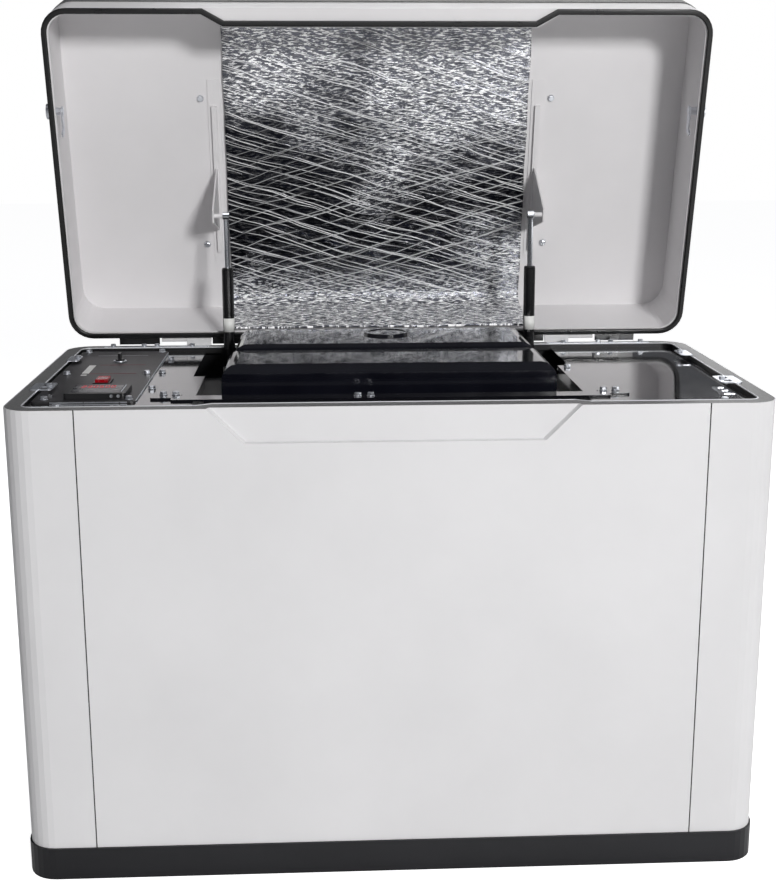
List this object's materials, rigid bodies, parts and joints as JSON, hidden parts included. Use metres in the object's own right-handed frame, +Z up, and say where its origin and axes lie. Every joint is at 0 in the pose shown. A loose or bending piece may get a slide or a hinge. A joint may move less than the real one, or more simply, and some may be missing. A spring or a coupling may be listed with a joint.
{
  "type": "home standby generator",
  "caption": "Home standby generator in a steel cabinet: rear-hinged lid open on gas struts, control panel, foil-lined lid, shrouded V-twin gas engine and alternator inside.",
  "frame": {"origin": "on the ground under the centre of the plinth", "axes": "+X to the right seen from the front, +Y to the back, +Z up"},
  "size_m": [1.222, 0.787, 1.4374],
  "materials": {
    "white_powder_coat": "satin",
    "lid_light_paint": "satin",
    "lid_cap_paint": "satin",
    "rim_paint": "matte",
    "black_paint": "satin",
    "gloss_black_paint": "gloss",
    "black_moulding": "gloss",
    "control_plastic": "matte",
    "meter_face": "gloss",
    "red_plastic": "satin",
    "bright_zinc": "satin",
    "black_rubber": "matte",
    "cast_aluminium": "satin",
    "bare_steel": "satin",
    "aluminised_steel": "satin",
    "filter_paint": "gloss",
    "brass_fitting": "satin",
    "foil_insulation": "gloss"
  },
  "bodies": {
    "cabinet": {"base_tray": "black_paint", "front_panel": "white_powder_coat", "rear_panel": "white_powder_coat", "end_panel_left": "white_powder_coat", "end_panel_right": "white_powder_coat", "top_rim": "rim_paint", "rear_rail": "black_paint", "deck_plate_left": "gloss_black_paint", "deck_plate_right": "gloss_black_paint", "front_crossbar": "gloss_black_paint", "control_panel": "black_paint", "meter_module": "meter_face", "control_box": "control_plastic", "partition_left": "black_paint", "partition_right": "black_paint", "striker_left": "bright_zinc", "striker_right": "bright_zinc", "skid_frame": "black_paint", "rubber_mount_front_left": "black_rubber", "rubber_mount_rear_left": "black_rubber", "rubber_mount_front_right": "black_rubber", "rubber_mount_rear_right": "black_rubber", "crankcase": "cast_aluminium", "cylinder_front": "cast_aluminium", "cylinder_rear": "cast_aluminium", "rocker_cover_front": "black_paint", "rocker_cover_rear": "black_paint", "fan_cowl": "black_paint", "engine_shroud": "black_moulding", "air_cleaner_cover": "black_moulding", "intake_manifold": "cast_aluminium", "gas_mixer": "cast_aluminium", "fuel_pipe": "bare_steel", "gas_regulator": "cast_aluminium", "gas_inlet": "brass_fitting", "exhaust_pipe_front": "bare_steel", "exhaust_pipe_rear": "bare_steel", "muffler": "aluminised_steel", "oil_filter": "filter_paint", "starter_motor": "black_paint", "alternator_housing": "cast_aluminium", "alternator_end_bell": "cast_aluminium", "battery": "control_plastic"},
    "crank_set": {"crankshaft": "bare_steel", "flywheel_fan": "cast_aluminium", "alternator_rotor": "bare_steel"},
    "key": {"key_switch": "control_plastic"},
    "stop_button": {"rocker_switch": "red_plastic"},
    "lid": {"lid_pan": "lid_light_paint", "lid_cap": "lid_cap_paint", "lid_seal": "black_rubber", "lid_insulation": "foil_insulation", "lid_brace_left": "lid_light_paint", "lid_brace_right": "lid_light_paint"},
    "latch_left": {"latch_left": "bright_zinc"},
    "latch_right": {"latch_right": "bright_zinc"},
    "strut_cylinder_left": {"strut_cylinder_left": "black_paint"},
    "strut_cylinder_right": {"strut_cylinder_right": "black_paint"},
    "strut_rod_left": {"strut_rod_left": "bare_steel"},
    "strut_rod_right": {"strut_rod_right": "bare_steel"}
  },
  "joints": [
    {"name": "crank_spin", "type": "hinge", "parent": "cabinet", "child": "crank_set", "pos_m": [0, 0, 0.3], "axis": [1, 0, 0], "continuous": true},
    {"name": "lid_hinge", "type": "hinge", "parent": "cabinet", "child": "lid", "pos_m": [0, 0.315, 0.791], "axis": [1, 0, 0], "range_deg": [0, 77.5], "stiffness_Nm_per_rad": 15, "springref_deg": -68.75},
    {"name": "key_turn", "type": "hinge", "parent": "cabinet", "child": "key", "pos_m": [-0.483, 0.155, 0.775], "axis": [0, 0, -1], "range_deg": [0, 90]},
    {"name": "stop_button_press", "type": "slide", "parent": "cabinet", "child": "stop_button", "axis": [0, 0, -1], "range_m": [0, 0.003], "stiffness_N_per_m": 1500},
    {"name": "latch_left_turn", "type": "hinge", "parent": "lid", "child": "latch_left", "pos_m": [-0.59, 0.26207, 1.2238], "axis": [-1, 0, 0], "range_deg": [0, 90]},
    {"name": "strut_left_swing", "type": "hinge", "parent": "cabinet", "child": "strut_cylinder_left", "pos_m": [-0.29, 0.27, 0.73], "axis": [1, 0, 0], "range_deg": [0, 70.54]},
    {"name": "strut_left_stroke", "type": "slide", "parent": "strut_cylinder_left", "child": "strut_rod_left", "axis": [0, -0.0234, -0.9997], "range_m": [0, 0.08978]},
    {"name": "latch_right_turn", "type": "hinge", "parent": "lid", "child": "latch_right", "pos_m": [0.59, 0.26207, 1.2238], "axis": [-1, 0, 0], "range_deg": [0, 90]},
    {"name": "strut_right_swing", "type": "hinge", "parent": "cabinet", "child": "strut_cylinder_right", "pos_m": [0.29, 0.27, 0.73], "axis": [1, 0, 0], "range_deg": [0, 70.54]},
    {"name": "strut_right_stroke", "type": "slide", "parent": "strut_cylinder_right", "child": "strut_rod_right", "axis": [0, -0.0234, -0.9997], "range_m": [0, 0.08978]}
  ],
  "couplings": [
    {"joint": "strut_left_swing", "follows": "lid_hinge", "ratio": 0.90762},
    {"joint": "strut_left_stroke", "follows": "lid_hinge", "m_per_rad": 0.066156},
    {"joint": "strut_right_swing", "follows": "lid_hinge", "ratio": 0.90762},
    {"joint": "strut_right_stroke", "follows": "lid_hinge", "m_per_rad": 0.066156}
  ]
}
